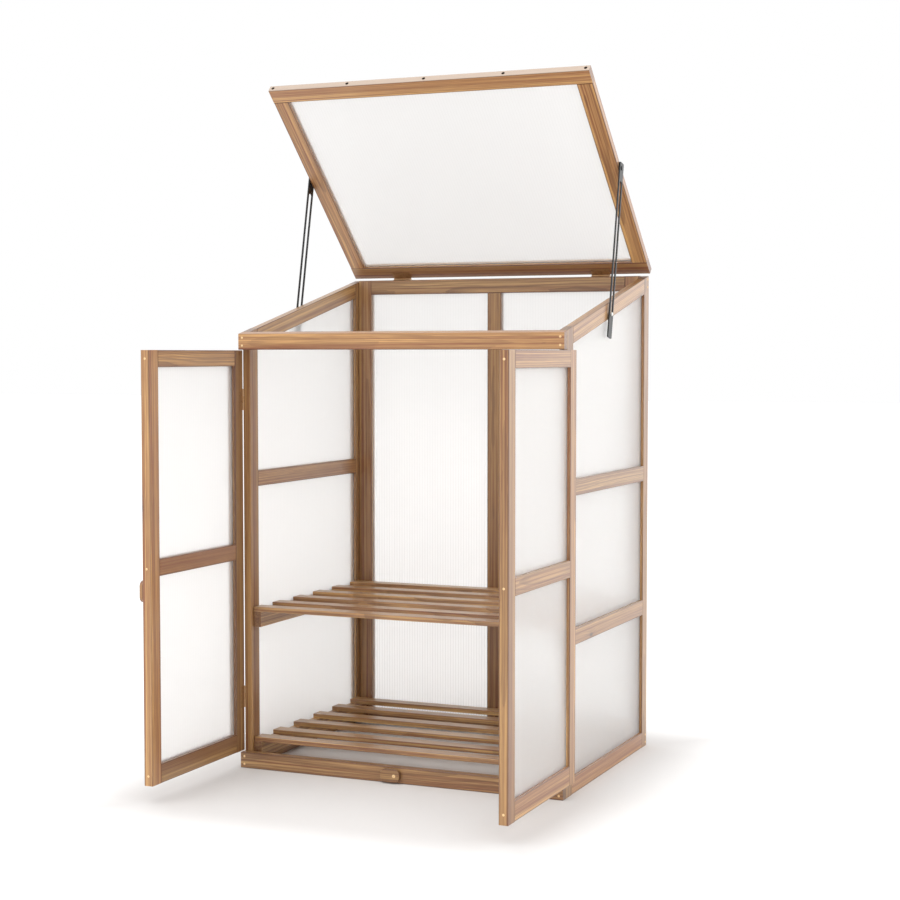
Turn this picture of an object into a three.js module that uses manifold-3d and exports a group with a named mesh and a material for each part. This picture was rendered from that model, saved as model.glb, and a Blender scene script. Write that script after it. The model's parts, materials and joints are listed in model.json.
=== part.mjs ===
// A wooden mini greenhouse: a timber cabinet glazed with light sheets, two slatted shelves,
// a pair of front doors and a hinged lid held open by slotted steel stays.
// Millimetres, +Z up. The front faces -Y. X = 0 is the middle of the width, Y = 0 is the middle
// of the front rails' thickness and Z = 0 is the ground.
// The doors and the lid are drawn open, as the greenhouse stands when it is aired.

import * as THREE from 'three';
import { mergeVertices } from 'three/addons/utils/BufferGeometryUtils.js';
import Module from 'manifold-3d';

// Cabinet
const width = 762;
const depth = 582;
const frontHeight = 966;
const backHeight = 1103;

// Timber
const timberWidth = 35;
const frameStock = 18;
const frontStock = 20;
const easedEdge = 0.8;
const jointGap = 0.3;

// Side frames: tops of the two middle rails
const lowerRailTop = 348;
const upperRailTop = 661.5;

// Back frame: its square top is level with the posts' highest corner. Along its front edge, where it
// would meet the closed lid, it is planed off this far above the roof slope.
const backTopProud = 2.8;

// Glazing sheets, let into grooves in the middle of the timbers
const sheetStock = 4;
const grooveDepth = 8;
const sheetFit = 0.3;

// Shelves
const lowerShelfTop = 65.5;
const upperShelfTop = 358.5;
const slatCount = 6;
const slatWidth = 35;
const slatStock = 10;
const slatPitch = 98.6;
const slatEndGap = 2;
const shelfFrontGap = 8;
const shelfBackGap = 22;
const bearerStock = 19;
const bearerHeight = 35;
const slatHousing = 0.5;

// Doors
const doorGap = 0.6;
const doorEndGap = 1.3;
const doorEdgeInset = 0.3;
const doorMeetingGap = 4;
const doorMiddleRailTop = 501;
const doorBottomRailWidth = 40;

// Butt hinges: a leaf, three knuckles and a pin
const doorHingeLength = 48;
const doorLowerHingeInset = 120.7;
const doorUpperHingeInset = 108.7;
const doorPinOut = 0.2;
const lidHingeLength = 46;
const lidLeftHingeInset = 128;
const lidRightHingeInset = 119;
const lidPinOut = 6;
const leafWidth = 15;
const leafStock = 1;
const leafProud = 0.15;
const knuckleRadius = 2.6;
const hingePinRadius = 1.1;
const knuckleCount = 3;
const hingeFit = 0.3;

// Lid
const lidStock = 16.5;
const lidTimberWidth = 36.5;
const lidOverhang = 1;
const lidBackGap = 1.7;
const lidSeam = 3.2;
const lidOpening = 55.75;

// Stays: slotted flat bars, pivoted on the lid's edges and guided by pins in the side frames
const stayStock = 3;
const stayWidth = 24;
const staySlotWidth = 15;
const stayCornerRadius = 3;
const staySlotRadius = 4;
const stayTopLength = 12;
const staySlotStart = 31;
const stayTailLength = 50;
const stayStandOff = 2.5;
const stayPivotReach = 320.5;
const stayRivetRadius = 5;
const stayRivetHead = 1.4;
const stayPinBack = 288.7;
const stayPinDrop = 25.1;
const stayPinRadius = 2;
const stayPinHeadRadius = 4.5;
const stayPinHead = 3;
const stayPinWall = 1;
const stayPinClearance = 0.6;

// Turn buttons
const buttonLength = 45.5;
const buttonWidth = 29;
const buttonStock = 10;
const buttonCornerRadius = 12;
const buttonEdge = 1.5;
const buttonPivotInset = 12.5;
const buttonGap = 0.3;
const doorButtonHeight = 446;

// Drawing
const cutOverrun = 5;
const roundSegments = 10;
const cornerSegments = 3;
const quarterTurn = Math.PI / 2;

// Places that follow from the sizes
const frontFace = -frontStock / 2;
const postFace = frontFace + frontStock;
const backFace = frontFace + depth;
const sideFace = width / 2;
const innerFace = sideFace - frameStock;
const slope = Math.atan2(backHeight - frontHeight, depth);
const roofAt = (y) => frontHeight + (y - frontFace) * Math.tan(slope);
const seam = lidSeam / Math.cos(slope);
const sawnTop = Math.max(frontHeight, backHeight) + timberWidth;
const doorBottom = timberWidth + doorEndGap;
const doorTop = frontHeight - timberWidth - doorEndGap;
const doorHingeHeights = { lower: doorBottom + doorLowerHingeInset, upper: doorTop - doorUpperHingeInset };

const wasm = await Module();
wasm.setup();

const axisX = new THREE.Vector3(1, 0, 0);
const axisY = new THREE.Vector3(0, 1, 0);
const axisZ = new THREE.Vector3(0, 0, 1);
const layAlong = {
  x: new THREE.Matrix4().makeBasis(axisY, axisZ, axisX),
  y: new THREE.Matrix4().makeBasis(axisZ, axisX, axisY),
  z: new THREE.Matrix4(),
};

const greenhouse = new THREE.Group();

// Shapes

function ordered(span) {
  return [Math.min(...span), Math.max(...span)];
}

function outlineOf(points) {
  return new THREE.Shape(points.map(([first, second]) => new THREE.Vector2(first, second)));
}

// A closed outline, drawn in the plane square to an axis, drawn out along that axis.
// Along x the outline's two directions are y and z, along y they are z and x, along z x and y.
function prism(outline, along, span) {
  const [start, end] = ordered(span);
  const settings = { depth: end - start, bevelEnabled: false, curveSegments: cornerSegments };
  const geometry = new THREE.ExtrudeGeometry(outline, settings);
  geometry.translate(0, 0, start);
  return geometry.applyMatrix4(layAlong[along]);
}

function block(xs, ys, zs) {
  const [[left, right], [front, back], [bottom, top]] = [xs, ys, zs].map(ordered);
  const geometry = new THREE.BoxGeometry(right - left, back - front, top - bottom);
  return geometry.translate((left + right) / 2, (front + back) / 2, (bottom + top) / 2);
}

// A planed timber: square ends and four eased long edges
function timber(along, xs, ys, zs) {
  const spans = { x: ordered(xs), y: ordered(ys), z: ordered(zs) };
  const across = { x: ['y', 'z'], y: ['z', 'x'], z: ['x', 'y'] }[along];
  const [[low, high], [near, far]] = across.map((axis) => spans[axis]);
  const outline = outlineOf([
    [low + easedEdge, near],
    [high - easedEdge, near],
    [high, near + easedEdge],
    [high, far - easedEdge],
    [high - easedEdge, far],
    [low + easedEdge, far],
    [low, far - easedEdge],
    [low, near + easedEdge],
  ]);
  return prism(outline, along, spans[along]);
}

function rod(along, radius, span, across = [0, 0]) {
  const circle = new THREE.Shape();
  circle.absarc(across[0], across[1], radius, 0, Math.PI * 2);
  const [start, end] = ordered(span);
  const settings = { depth: end - start, bevelEnabled: false, curveSegments: roundSegments };
  const geometry = new THREE.ExtrudeGeometry(circle, settings);
  geometry.translate(0, 0, start);
  return geometry.applyMatrix4(layAlong[along]);
}

function roundedRectangle(xs, ys, radius) {
  const [left, right] = ordered(xs);
  const [bottom, top] = ordered(ys);
  const shape = new THREE.Shape();
  shape.absarc(right - radius, bottom + radius, radius, -quarterTurn, 0);
  shape.absarc(right - radius, top - radius, radius, 0, quarterTurn);
  shape.absarc(left + radius, top - radius, radius, quarterTurn, Math.PI);
  shape.absarc(left + radius, bottom + radius, radius, Math.PI, -quarterTurn);
  return shape;
}

// Solids: cutting and joining

function solidOf(geometry) {
  const bare = geometry.clone();
  bare.deleteAttribute('normal');
  bare.deleteAttribute('uv');
  const welded = mergeVertices(bare);
  return new wasm.Manifold(new wasm.Mesh({
    numProp: 3,
    vertProperties: new Float32Array(welded.attributes.position.array),
    triVerts: new Uint32Array(welded.index.array),
  }));
}

function geometryOf(solid) {
  const mesh = solid.getMesh();
  const geometry = new THREE.BufferGeometry();
  geometry.setAttribute('position', new THREE.BufferAttribute(mesh.vertProperties, 3));
  geometry.setIndex(new THREE.BufferAttribute(mesh.triVerts, 1));
  const faceted = geometry.toNonIndexed();
  faceted.computeVertexNormals();
  return faceted;
}

function cut(body, ...cutters) {
  return cutters.reduce((solid, cutter) => solid.subtract(solidOf(cutter)), body);
}

function join(...geometries) {
  return geometries.map(solidOf).reduce((solid, other) => solid.add(other));
}

// Materials

const wood = () => new THREE.MeshStandardMaterial({ color: 0xb98a5e, roughness: 0.6, metalness: 0 });
const sheet = () => new THREE.MeshStandardMaterial({ color: 0xf2f2f0, roughness: 0.35, metalness: 0 });
const blackSteel = () => new THREE.MeshStandardMaterial({ color: 0x1c1c1e, roughness: 0.45, metalness: 0.8 });
const brightSteel = () => new THREE.MeshStandardMaterial({ color: 0xd8d8d4, roughness: 0.3, metalness: 1 });
const brass = () => new THREE.MeshStandardMaterial({ color: 0xb08d4f, roughness: 0.4, metalness: 1 });

function place(group, name, solid, material) {
  const mesh = new THREE.Mesh(geometryOf(solid), material);
  mesh.name = name;
  group.add(mesh);
}

// Glazing: a sheet in its plane has a four-sided outline, grown into the grooves round it.
// An opening has a low and a high first coordinate, a bottom and a top that may slope.

function growOpening(opening, grow) {
  const rise = (at) => opening.top(at) + grow / Math.cos(opening.tilt);
  const low = opening.low - grow;
  const high = opening.high + grow;
  const bottom = opening.bottom - grow;
  return [[low, bottom], [high, bottom], [high, rise(high)], [low, rise(low)]];
}

function centred(span, thickness) {
  const middle = (span[0] + span[1]) / 2;
  return [middle - thickness / 2, middle + thickness / 2];
}

// Along x the outline is (y, z). Along y it is (z, x), so the corners are swapped.
function glazing(opening, along, stockSpan, grow, thickness) {
  const corners = growOpening(opening, grow);
  const outline = outlineOf(along === 'y' ? corners.map(([x, z]) => [z, x]) : corners);
  return prism(outline, along, centred(stockSpan, thickness));
}

const sheetIn = (opening, along, stockSpan) =>
  solidOf(glazing(opening, along, stockSpan, grooveDepth - sheetFit, sheetStock));

const grooveIn = (opening, along, stockSpan) =>
  glazing(opening, along, stockSpan, grooveDepth, sheetStock + 2 * sheetFit);

function rectangularOpening(low, high, bottom, top) {
  return { low, high, bottom, top: () => top, tilt: 0 };
}

// Half of a butt hinge, drawn closed in its own frame: the pin lies on z, the leaf reaches towards
// -x and its thickness is ys. The moving half has the middle knuckle and carries the pin.

function hingeHalf(length, reach, ys, moving) {
  const half = length / 2;
  const step = length / knuckleCount;
  const leafEdge = -knuckleRadius - hingeFit;
  const parts = [block([reach, leafEdge], ys, [-half, half])];
  for (let index = 0; index < knuckleCount; index += 1) {
    if ((index % 2 === 1) === moving) {
      const low = -half + index * step + (index > 0 ? hingeFit / 2 : 0);
      const high = -half + (index + 1) * step - (index < knuckleCount - 1 ? hingeFit / 2 : 0);
      parts.push(rod('z', knuckleRadius, [low, high]));
      parts.push(block([leafEdge - hingeFit, -hingePinRadius - hingeFit], ys, [low, high]));
    }
  }
  if (moving) {
    return join(...parts, rod('z', hingePinRadius, [-half, half]));
  }
  return cut(join(...parts), rod('z', hingePinRadius + hingeFit, [-half - cutOverrun, half + cutOverrun]));
}

function doorLeaf(moving) {
  const sign = moving ? -1 : 1;
  const near = doorGap / 2 - leafProud;
  return hingeHalf(doorHingeLength, -leafWidth, [sign * near, sign * (near + leafStock)], moving);
}

// The lid's leaves fill half the seam each. The fixed one is let into the back rail.
const lidLeafReach = -lidPinOut / Math.cos(slope) - leafWidth;

function lidLeaf(moving) {
  const sign = moving ? 1 : -1;
  const far = lidSeam / 2 - sign * hingeFit;
  return hingeHalf(lidHingeLength, lidLeafReach, [sign * hingeFit, sign * far], moving);
}

function lidLeafPocket() {
  const half = lidHingeLength / 2 + hingeFit;
  return block([lidLeafReach - hingeFit, cutOverrun], [-hingeFit, 2 * cutOverrun], [-half, half]);
}

function hingePocket(length) {
  return rod('z', knuckleRadius + hingeFit, [-length / 2 - hingeFit, length / 2 + hingeFit]);
}

// A solid put in its place by a matrix. A mirrored one has its faces turned back outwards.
function moved(solid, matrix) {
  const geometry = geometryOf(solid).applyMatrix4(matrix);
  if (matrix.determinant() < 0) {
    const position = geometry.attributes.position;
    for (let first = 0; first < position.count; first += 3) {
      const a = new THREE.Vector3().fromBufferAttribute(position, first);
      const b = new THREE.Vector3().fromBufferAttribute(position, first + 1);
      position.setXYZ(first, b.x, b.y, b.z);
      position.setXYZ(first + 1, a.x, a.y, a.z);
    }
  }
  return solidOf(geometry);
}

// Side frames: two posts, a sloping top rail, three level rails and three sheets each

const postSpans = {
  front: [postFace, postFace + timberWidth],
  back: [backFace - timberWidth, backFace],
};
const betweenPosts = [postSpans.front[1], postSpans.back[0]];
const roofRailDepth = timberWidth / Math.cos(slope);
const sideRails = {
  bottom: [0, timberWidth],
  lower: [lowerRailTop - timberWidth, lowerRailTop],
  upper: [upperRailTop - timberWidth, upperRailTop],
};
const sideOpenings = {
  bottom: rectangularOpening(...betweenPosts, sideRails.bottom[1], sideRails.lower[0]),
  middle: rectangularOpening(...betweenPosts, sideRails.lower[1], sideRails.upper[0]),
  top: {
    low: betweenPosts[0],
    high: betweenPosts[1],
    bottom: sideRails.upper[1],
    top: (y) => roofAt(y) - roofRailDepth,
    tilt: slope,
  },
};
const stayPinY = frontFace + stayPinBack;
const stayPinZ = roofAt(stayPinY) - stayPinDrop / Math.cos(slope);
const stayPinDepth = (frameStock - sheetStock) / 2 - sheetFit - stayPinWall;

function aboveRoof(proud = 0) {
  const front = frontFace - cutOverrun;
  const back = backFace + cutOverrun;
  const low = (y) => roofAt(y) + proud;
  const high = sawnTop + cutOverrun;
  const outline = outlineOf([[front, low(front)], [back, low(back)], [back, high], [front, high]]);
  return prism(outline, 'x', [-width, width]);
}

function shorten(span) {
  return [span[0] + jointGap, span[1] - jointGap];
}

function doorAxis(sign) {
  return [sign * (sideFace + doorPinOut), frontFace + frontStock - doorGap / 2];
}

// The matrix that puts a hinge drawn in its own frame on a door's pin, at a height
function onDoorPin(sign, height, axis) {
  const flip = new THREE.Matrix4().makeScale(sign, 1, 1);
  return new THREE.Matrix4().makeTranslation(axis[0], axis[1], height).multiply(flip);
}

function frontPost(sign, stockSpan, grooves) {
  let post = cut(solidOf(timber('z', stockSpan, postSpans.front, [0, sawnTop])), aboveRoof(), ...grooves);
  for (const height of Object.values(doorHingeHeights)) {
    const matrix = onDoorPin(sign, height, doorAxis(sign));
    post = post.subtract(moved(solidOf(hingePocket(doorHingeLength)), matrix));
    post = post.add(moved(doorLeaf(false), matrix));
  }
  return post;
}

function sideFrame(side, sign) {
  const stockSpan = ordered([sign * innerFace, sign * sideFace]);
  const grooves = Object.values(sideOpenings).map((opening) => grooveIn(opening, 'x', stockSpan));
  place(greenhouse, `${side}_front_post`, frontPost(sign, stockSpan, grooves), wood());

  const backPost = timber('z', stockSpan, postSpans.back, [0, sawnTop]);
  place(greenhouse, `${side}_back_post`, cut(solidOf(backPost), aboveRoof(), ...grooves), wood());

  for (const [level, zs] of Object.entries(sideRails)) {
    const rail = timber('y', stockSpan, shorten(betweenPosts), zs);
    place(greenhouse, `${side}_${level}_rail`, cut(solidOf(rail), ...grooves), wood());
  }

  const length = depth / Math.cos(slope);
  const roofRail = timber('y', stockSpan, [0, length], [-timberWidth, 0]);
  roofRail.rotateX(slope);
  roofRail.translate(0, frontFace, frontHeight);
  const between = block([-width, width], shorten(betweenPosts), [0, sawnTop]);
  const pinHole = rod('x', stayPinRadius + jointGap,
    [sign * (sideFace - stayPinDepth - jointGap), sign * (sideFace + cutOverrun)], [stayPinY, stayPinZ]);
  const roofSolid = cut(solidOf(roofRail).intersect(solidOf(between)), ...grooves, pinHole);
  place(greenhouse, `${side}_roof_rail`, roofSolid, wood());

  for (const [level, opening] of Object.entries(sideOpenings)) {
    place(greenhouse, `${side}_${level}_sheet`, sheetIn(opening, 'x', stockSpan), sheet());
  }
}

// Front rails, screwed across the front posts. The top one is planed to the roof's slope.

function frontRails() {
  const ys = [frontFace, postFace - jointGap];
  const xs = [-sideFace, sideFace];
  const top = timber('x', xs, ys, [frontHeight - timberWidth, sawnTop]);
  const bottom = timber('x', xs, ys, [0, timberWidth]);
  place(greenhouse, 'front_top_rail', cut(solidOf(top), aboveRoof()), wood());
  place(greenhouse, 'front_bottom_rail', solidOf(bottom), wood());
}

// Back frame, between the side frames and flush with their back edges

const backSpan = [backFace - frameStock, backFace];
const backEdge = innerFace - jointGap;
const lidAxisY = backFace + lidPinOut;
const lidAxisZ = roofAt(lidAxisY) + seam / 2;
const lidHingeXs = { left: -sideFace + lidLeftHingeInset, right: sideFace - lidRightHingeInset };

function lidPinMatrix(x) {
  const onAxis = new THREE.Matrix4().makeTranslation(x, lidAxisY, lidAxisZ);
  return onAxis.multiply(new THREE.Matrix4().makeRotationX(slope)).multiply(layAlong.x);
}

function backFrame() {
  const stileInner = backEdge - timberWidth;
  const postHalf = timberWidth / 2;
  const frameTop = Math.max(...backSpan.map(roofAt));
  const railBottom = frameTop - timberWidth;
  const openings = [[-stileInner, -postHalf], [postHalf, stileInner]].map(([low, high]) =>
    rectangularOpening(low, high, timberWidth, railBottom));
  const grooves = openings.map((opening) => grooveIn(opening, 'y', backSpan));

  for (const [side, sign] of [['left', -1], ['right', 1]]) {
    const stile = timber('z', [sign * stileInner, sign * backEdge], backSpan, [0, frameTop]);
    place(greenhouse, `back_${side}_stile`, cut(solidOf(stile), aboveRoof(backTopProud), ...grooves), wood());
  }

  const railSpan = [-stileInner + jointGap, stileInner - jointGap];
  const topRail = timber('x', railSpan, backSpan, [railBottom, frameTop]);
  let topSolid = cut(solidOf(topRail), aboveRoof(backTopProud), ...grooves);
  for (const x of Object.values(lidHingeXs)) {
    const matrix = lidPinMatrix(x);
    topSolid = topSolid.subtract(moved(solidOf(lidLeafPocket()), matrix));
    topSolid = topSolid.add(moved(lidLeaf(false), matrix));
  }
  place(greenhouse, 'back_top_rail', topSolid, wood());

  const bottomRail = timber('x', railSpan, backSpan, [0, timberWidth]);
  place(greenhouse, 'back_bottom_rail', cut(solidOf(bottomRail), ...grooves), wood());

  const postSpan = [timberWidth + jointGap, railBottom - jointGap];
  const post = timber('z', [-postHalf, postHalf], backSpan, postSpan);
  place(greenhouse, 'back_centre_post', cut(solidOf(post), ...grooves), wood());

  openings.forEach((opening, index) => {
    place(greenhouse, `back_${index === 0 ? 'left' : 'right'}_sheet`, sheetIn(opening, 'y', backSpan), sheet());
  });
}

// Shelves: slats housed on a bearer at each end, in one piece

function shelf(name, top) {
  const slatHalf = innerFace - slatEndGap;
  const bearerFront = postFace + shelfFrontGap;
  const bearerTop = top - slatStock;
  const lastSlat = backSpan[0] - shelfBackGap - slatWidth;
  const parts = [];
  for (const sign of [-1, 1]) {
    const outer = innerFace - jointGap;
    const xs = [sign * (outer - bearerStock), sign * outer];
    const ys = [bearerFront, backSpan[0] - jointGap];
    parts.push(timber('y', xs, ys, [bearerTop - bearerHeight, bearerTop]));
  }
  for (let index = 0; index < slatCount; index += 1) {
    const front = Math.max(lastSlat - index * slatPitch, bearerFront);
    const zs = [bearerTop - slatHousing, top];
    parts.push(timber('x', [-slatHalf, slatHalf], [front, front + slatWidth], zs));
  }
  place(greenhouse, name, join(...parts), wood());
}

// Doors: each is drawn closed round its own pin, then turned open

const doorHingeEdge = -(doorPinOut + doorEdgeInset);
const doorFreeEdge = -(sideFace + doorPinOut) + doorMeetingGap / 2;
const doorSpan = [-frontStock + doorGap / 2, -doorGap / 2];

function door(side, sign) {
  const group = new THREE.Group();
  const axis = doorAxis(sign);
  group.position.set(axis[0], axis[1], 0);
  group.rotation.z = sign * quarterTurn;
  greenhouse.add(group);

  const stiles = {
    hinge: [doorHingeEdge - timberWidth, doorHingeEdge],
    free: [doorFreeEdge, doorFreeEdge + timberWidth],
  };
  const between = [stiles.free[1], stiles.hinge[0]];
  const rails = {
    top: [doorTop - timberWidth, doorTop],
    middle: [doorMiddleRailTop - timberWidth, doorMiddleRailTop],
    bottom: [doorBottom, doorBottom + doorBottomRailWidth],
  };
  const facing = (span) => ordered(span.map((value) => sign * value));
  const openings = {
    upper: rectangularOpening(...facing(between), rails.middle[1], rails.top[0]),
    lower: rectangularOpening(...facing(between), rails.bottom[1], rails.middle[0]),
  };
  const grooves = Object.values(openings).map((opening) => grooveIn(opening, 'y', doorSpan));

  for (const [kind, span] of Object.entries(stiles)) {
    let stile = cut(solidOf(timber('z', facing(span), doorSpan, [doorBottom, doorTop])), ...grooves);
    if (kind === 'hinge') {
      for (const height of Object.values(doorHingeHeights)) {
        const matrix = onDoorPin(sign, height, [0, 0]);
        stile = stile.subtract(moved(solidOf(hingePocket(doorHingeLength)), matrix));
        stile = stile.subtract(moved(solidOf(leafPocket()), matrix));
      }
    }
    place(group, `${side}_door_${kind}_stile`, stile, wood());
  }
  for (const [level, zs] of Object.entries(rails)) {
    const rail = timber('x', facing(shorten(between)), doorSpan, zs);
    place(group, `${side}_door_${level}_rail`, cut(solidOf(rail), ...grooves), wood());
  }
  for (const [level, opening] of Object.entries(openings)) {
    place(group, `${side}_door_${level}_sheet`, sheetIn(opening, 'y', doorSpan), sheet());
  }
  for (const [level, height] of Object.entries(doorHingeHeights)) {
    place(group, `${side}_door_${level}_hinge`, moved(doorLeaf(true), onDoorPin(sign, height, [0, 0])), brass());
  }
  return group;
}

// The shallow pocket in a door stile that takes the moving leaf
function leafPocket() {
  const depthIn = doorGap / 2 + leafStock - leafProud + hingeFit;
  const half = doorHingeLength / 2 + hingeFit;
  return block([-leafWidth - hingeFit, cutOverrun], [-depthIn, cutOverrun], [-half, half]);
}

// Lid: drawn lying along the roof slope behind its own pin, then turned open

const lidBack = -lidBackGap;
const lidFront = -(lidPinOut + depth) / Math.cos(slope);
const lidSpan = [lidSeam / 2, lidSeam / 2 + lidStock];
const lidEdge = sideFace + lidOverhang;

function lid() {
  const group = new THREE.Group();
  group.position.set(0, lidAxisY, lidAxisZ);
  group.rotation.x = slope - THREE.MathUtils.degToRad(lidOpening);
  greenhouse.add(group);

  const betweenSides = [-lidEdge + lidTimberWidth, lidEdge - lidTimberWidth];
  const betweenRails = [lidFront + lidTimberWidth, lidBack - lidTimberWidth];
  const opening = rectangularOpening(...betweenSides, ...betweenRails);
  const groove = grooveIn(opening, 'z', lidSpan);
  const edges = [-lidEdge, lidEdge];
  const frontRail = timber('x', edges, [lidFront, betweenRails[0]], lidSpan);
  const backRail = timber('x', edges, [betweenRails[1], lidBack], lidSpan);
  const onPin = (x) => new THREE.Matrix4().makeTranslation(x, 0, 0).multiply(layAlong.x);
  const pockets = Object.values(lidHingeXs).map((x) => hingePocket(lidHingeLength).applyMatrix4(onPin(x)));
  place(group, 'lid_front_rail', cut(solidOf(frontRail), groove), wood());
  place(group, 'lid_back_rail', cut(solidOf(backRail), groove, ...pockets), wood());
  for (const [side, sign] of [['left', -1], ['right', 1]]) {
    const xs = [sign * (lidEdge - lidTimberWidth), sign * lidEdge];
    const rail = timber('y', xs, shorten(betweenRails), lidSpan);
    place(group, `lid_${side}_rail`, cut(solidOf(rail), groove), wood());
  }
  place(group, 'lid_sheet', sheetIn(opening, 'z', lidSpan), sheet());
  for (const [side, x] of Object.entries(lidHingeXs)) {
    place(group, `lid_${side}_hinge`, moved(lidLeaf(true), onPin(x)), brass());
  }
  return group;
}

// Stays: the slot's lower end stops the lid when it is open

function stay(side, sign, lidGroup) {
  const pivot = new THREE.Vector3(0, lidBack - stayPivotReach, (lidSpan[0] + lidSpan[1]) / 2);
  lidGroup.updateWorldMatrix(true, false);
  lidGroup.localToWorld(pivot);
  const reachY = stayPinY - pivot.y;
  const reachZ = stayPinZ - pivot.z;
  const slotEnd = Math.hypot(reachY, reachZ) + stayPinRadius + stayPinClearance;

  const group = new THREE.Group();
  group.position.copy(pivot);
  group.rotation.x = Math.atan2(reachY, -reachZ);
  greenhouse.add(group);

  const inner = sideFace + stayStandOff;
  const outer = inner + stayStock;
  const halfWidth = stayWidth / 2;
  const barOutline = roundedRectangle([-halfWidth, halfWidth], [-slotEnd - stayTailLength, stayTopLength],
    stayCornerRadius);
  const halfSlot = staySlotWidth / 2;
  const slotOutline = roundedRectangle([-halfSlot, halfSlot], [-slotEnd, -staySlotStart], staySlotRadius);
  const slot = prism(slotOutline, 'x', [sign * (inner - cutOverrun), sign * (outer + cutOverrun)]);
  const bar = cut(solidOf(prism(barOutline, 'x', [sign * inner, sign * outer])), slot);
  const rivet = rod('x', stayRivetRadius, [sign * (lidEdge + jointGap), sign * (outer + stayRivetHead)]);
  place(group, `${side}_stay`, bar.add(solidOf(rivet)), blackSteel());

  const pinProfile = [
    [0, -stayPinDepth],
    [stayPinRadius, -stayPinDepth],
    [stayPinRadius, stayStandOff + stayStock + jointGap],
    [stayPinHeadRadius, stayStandOff + stayStock + jointGap],
    [stayPinHeadRadius, stayStandOff + stayStock + jointGap + stayPinHead / 2],
    [stayPinHeadRadius / 2, stayStandOff + stayStock + jointGap + stayPinHead],
    [0, stayStandOff + stayStock + jointGap + stayPinHead],
  ].map(([radius, along]) => new THREE.Vector2(radius, along));
  const pin = new THREE.LatheGeometry(pinProfile, roundSegments);
  pin.rotateZ(-sign * quarterTurn);
  pin.translate(sign * sideFace, stayPinY, stayPinZ);
  place(greenhouse, `${side}_stay_pin`, solidOf(pin), brightSteel());
}

// Turn buttons: drawn round the screw, with the long end towards -x and the back on y = 0

function turnButton() {
  const half = buttonWidth / 2 - buttonEdge;
  const outline = roundedRectangle(
    [-buttonLength + buttonPivotInset + buttonEdge, buttonPivotInset - buttonEdge],
    [-half, half],
    buttonCornerRadius - buttonEdge,
  );
  const geometry = new THREE.ExtrudeGeometry(outline, {
    depth: buttonStock - 2 * buttonEdge,
    bevelEnabled: true,
    bevelThickness: buttonEdge,
    bevelSize: buttonEdge,
    bevelSegments: 2,
    curveSegments: cornerSegments,
  });
  geometry.translate(0, 0, buttonEdge);
  geometry.rotateX(quarterTurn);
  return geometry;
}

function turnButtons(leftDoor) {
  const onRail = turnButton();
  onRail.translate(0, frontFace - buttonGap, timberWidth / 2);
  place(greenhouse, 'base_turn_button', solidOf(onRail), wood());

  const onDoor = turnButton();
  onDoor.rotateY(-quarterTurn);
  onDoor.translate(-doorFreeEdge - timberWidth / 2, doorSpan[0] - buttonGap, doorButtonHeight);
  place(leftDoor, 'door_turn_button', solidOf(onDoor), wood());
}

for (const [side, sign] of [['left', -1], ['right', 1]]) {
  sideFrame(side, sign);
}
frontRails();
backFrame();
shelf('lower_shelf', lowerShelfTop);
shelf('upper_shelf', upperShelfTop);
const leftDoor = door('left', -1);
door('right', 1);
const lidGroup = lid();
for (const [side, sign] of [['left', -1], ['right', 1]]) {
  stay(side, sign, lidGroup);
}
turnButtons(leftDoor);

export default greenhouse;
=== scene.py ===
import json
import math

import bpy
from mathutils import Matrix, Vector


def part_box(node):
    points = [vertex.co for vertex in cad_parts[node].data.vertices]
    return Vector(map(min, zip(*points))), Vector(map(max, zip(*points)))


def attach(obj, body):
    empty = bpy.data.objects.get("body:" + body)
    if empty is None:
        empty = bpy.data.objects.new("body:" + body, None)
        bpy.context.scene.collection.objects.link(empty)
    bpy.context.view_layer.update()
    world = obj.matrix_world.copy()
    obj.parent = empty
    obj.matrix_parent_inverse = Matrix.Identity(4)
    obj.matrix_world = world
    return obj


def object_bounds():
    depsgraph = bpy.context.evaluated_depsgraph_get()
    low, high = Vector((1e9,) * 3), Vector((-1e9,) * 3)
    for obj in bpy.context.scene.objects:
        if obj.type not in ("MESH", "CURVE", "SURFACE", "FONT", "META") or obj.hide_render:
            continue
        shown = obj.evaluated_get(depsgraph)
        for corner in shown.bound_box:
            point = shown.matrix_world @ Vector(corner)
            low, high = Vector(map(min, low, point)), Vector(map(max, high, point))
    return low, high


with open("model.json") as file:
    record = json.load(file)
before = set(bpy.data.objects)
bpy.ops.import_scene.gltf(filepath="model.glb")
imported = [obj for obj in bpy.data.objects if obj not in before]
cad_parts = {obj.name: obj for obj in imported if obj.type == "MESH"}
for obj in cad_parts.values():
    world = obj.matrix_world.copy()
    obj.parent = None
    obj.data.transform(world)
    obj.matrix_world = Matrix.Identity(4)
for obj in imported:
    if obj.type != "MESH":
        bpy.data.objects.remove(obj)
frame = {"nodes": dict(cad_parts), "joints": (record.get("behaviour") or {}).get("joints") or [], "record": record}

bl_info = {
    "name": "Mini greenhouse finishes",
    "version": (1, 1, 0),
    "blender": (4, 5, 0),
    "location": "3D View > Sidebar > Greenhouse",
    "description": "Dresses the timber, glazing and ironwork of a mini greenhouse and lights it",
    "category": "Object",
}

CAD_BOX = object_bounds()
SHELVES = ("upper_shelf", "lower_shelf")
FRONT, LEFT, RIGHT = Vector((0, -1, 0)), Vector((-1, 0, 0)), Vector((1, 0, 0))
RAIL_SCREW_SHARES = (0.25, 0.75)
LID_SCREW_SHARES = (-1, -0.5, 0, 0.5, 1)
FULL_TURN = 2 * math.pi

# A face looks to the front where the second part of its normal is under this; there the lid's front edge gets its
# painted sheen

FRONT_FACING = -0.7


def joint(name):
    """A joint of the frame, by its name."""
    return next(item for item in frame["joints"] if item["name"] == name)


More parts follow.
